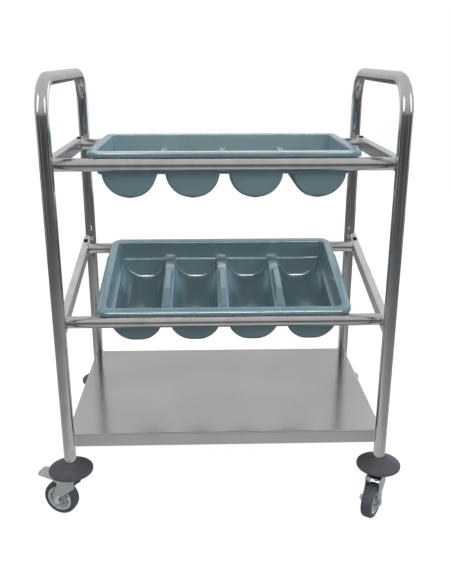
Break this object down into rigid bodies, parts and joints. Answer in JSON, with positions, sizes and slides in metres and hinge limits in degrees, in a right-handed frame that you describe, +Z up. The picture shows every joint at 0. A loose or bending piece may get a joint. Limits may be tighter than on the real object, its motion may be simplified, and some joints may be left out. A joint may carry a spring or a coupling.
{
  "type": "tray and cutlery trolley",
  "caption": "Tubular steel service trolley with level and tilted lift-off cutlery trays above a flat tray shelf, on swivel castors with bumper discs and foot brakes.",
  "frame": {"origin": "on the floor under the middle of the trolley", "axes": "+X to the right as seen from the front, +Y to the back, +Z up"},
  "size_m": [0.7894, 0.5584, 0.906],
  "materials": {
    "polished_tube": "polished stainless tube",
    "steel_bar": "satin stainless",
    "shelf_sheet": "brushed stainless sheet",
    "tray_plastic": "semi-gloss slate grey moulding",
    "bolt_black": "black oxide",
    "zinc_fastener": "bright zinc",
    "zinc_fork": "blue zinc plate",
    "pedal_steel": "bright zinc plate",
    "neck_steel": "dark grey",
    "bumper_rubber": "matte dark grey",
    "socket_plastic": "matte black",
    "hub_plastic": "light grey moulding",
    "bush_plastic": "white moulding",
    "tyre_rubber": "dark grey rubber"
  },
  "bodies": {
    "root": {"back_left_bumper": "bumper_rubber", "back_right_bumper": "bumper_rubber", "bar_bolts": "bolt_black", "bar_lugs": "steel_bar", "bar_nuts": "zinc_fastener", "bottom_shelf": "shelf_sheet", "castor_necks": "neck_steel", "castor_stems": "zinc_fork", "foot_screws": "zinc_fastener", "front_left_bumper": "bumper_rubber", "front_right_bumper": "bumper_rubber", "left_end_frame": "polished_tube", "leg_sockets": "socket_plastic", "middle_back_rail": "polished_tube", "middle_front_rail": "polished_tube", "middle_left_bar": "steel_bar", "middle_right_bar": "steel_bar", "right_end_frame": "polished_tube", "shelf_lugs": "steel_bar", "shelf_nuts": "zinc_fastener", "shelf_studs": "zinc_fastener", "upper_back_rail": "polished_tube", "upper_front_rail": "polished_tube", "upper_left_bar": "steel_bar", "upper_right_bar": "steel_bar"},
    "upper_tray": {"upper_cutlery_tray": "tray_plastic"},
    "middle_tray": {"middle_cutlery_tray": "tray_plastic"},
    "front_left_swivel": {"front_left_fork": "zinc_fork", "front_left_axle": "zinc_fastener", "front_left_axle_nut": "zinc_fastener", "front_left_pedal_pin": "zinc_fastener"},
    "front_left_wheel": {"front_left_hub": "hub_plastic", "front_left_bush": "bush_plastic", "front_left_tyre": "tyre_rubber"},
    "front_left_pedal": {"front_left_brake_pedal": "pedal_steel"},
    "front_right_swivel": {"front_right_fork": "zinc_fork", "front_right_axle": "zinc_fastener", "front_right_axle_nut": "zinc_fastener"},
    "front_right_wheel": {"front_right_hub": "hub_plastic", "front_right_bush": "bush_plastic", "front_right_tyre": "tyre_rubber"},
    "back_left_swivel": {"back_left_fork": "zinc_fork", "back_left_axle": "zinc_fastener", "back_left_axle_nut": "zinc_fastener", "back_left_pedal_pin": "zinc_fastener"},
    "back_left_wheel": {"back_left_hub": "hub_plastic", "back_left_bush": "bush_plastic", "back_left_tyre": "tyre_rubber"},
    "back_left_pedal": {"back_left_brake_pedal": "pedal_steel"},
    "back_right_swivel": {"back_right_fork": "zinc_fork", "back_right_axle": "zinc_fastener", "back_right_axle_nut": "zinc_fastener"},
    "back_right_wheel": {"back_right_hub": "hub_plastic", "back_right_bush": "bush_plastic", "back_right_tyre": "tyre_rubber"}
  },
  "joints": [
    {"name": "upper_tray_lift", "type": "slide", "parent": "root", "child": "upper_tray", "axis": [0, 0, 1], "range_m": [0, 0.15]},
    {"name": "middle_tray_lift", "type": "slide", "parent": "root", "child": "middle_tray", "axis": [0, -0.2284, 0.9736], "range_m": [0, 0.12]},
    {"name": "front_left_castor_swivel", "type": "hinge", "parent": "root", "child": "front_left_swivel", "pos_m": [-0.325, -0.215, 0.0897], "axis": [0, 0, 1], "continuous": true},
    {"name": "front_left_wheel_spin", "type": "hinge", "parent": "front_left_swivel", "child": "front_left_wheel", "pos_m": [-0.35131, -0.20542, 0.0375], "axis": [-0.342, -0.9397, 0], "continuous": true},
    {"name": "front_left_pedal_press", "type": "hinge", "parent": "front_left_swivel", "child": "front_left_pedal", "pos_m": [-0.34567, -0.20748, 0.082], "axis": [-0.342, -0.9397, 0], "range_deg": [0, 12]},
    {"name": "front_right_castor_swivel", "type": "hinge", "parent": "root", "child": "front_right_swivel", "pos_m": [0.325, -0.215, 0.0897], "axis": [0, 0, 1], "continuous": true},
    {"name": "front_right_wheel_spin", "type": "hinge", "parent": "front_right_swivel", "child": "front_right_wheel", "pos_m": [0.30975, -0.23848, 0.0375], "axis": [0.8387, -0.5446, 0], "continuous": true},
    {"name": "back_left_castor_swivel", "type": "hinge", "parent": "root", "child": "back_left_swivel", "pos_m": [-0.325, 0.215, 0.0897], "axis": [0, 0, 1], "continuous": true},
    {"name": "back_left_wheel_spin", "type": "hinge", "parent": "back_left_swivel", "child": "back_left_wheel", "pos_m": [-0.31016, 0.23875, 0.0375], "axis": [-0.848, 0.5299, 0], "continuous": true},
    {"name": "back_left_pedal_press", "type": "hinge", "parent": "back_left_swivel", "child": "back_left_pedal", "pos_m": [-0.31334, 0.23366, 0.082], "axis": [-0.848, 0.5299, 0], "range_deg": [0, 12]},
    {"name": "back_right_castor_swivel", "type": "hinge", "parent": "root", "child": "back_right_swivel", "pos_m": [0.325, 0.215, 0.0897], "axis": [0, 0, 1], "continuous": true},
    {"name": "back_right_wheel_spin", "type": "hinge", "parent": "back_right_swivel", "child": "back_right_wheel", "pos_m": [0.35258, 0.21986, 0.0375], "axis": [-0.1736, 0.9848, 0], "continuous": true}
  ]
}
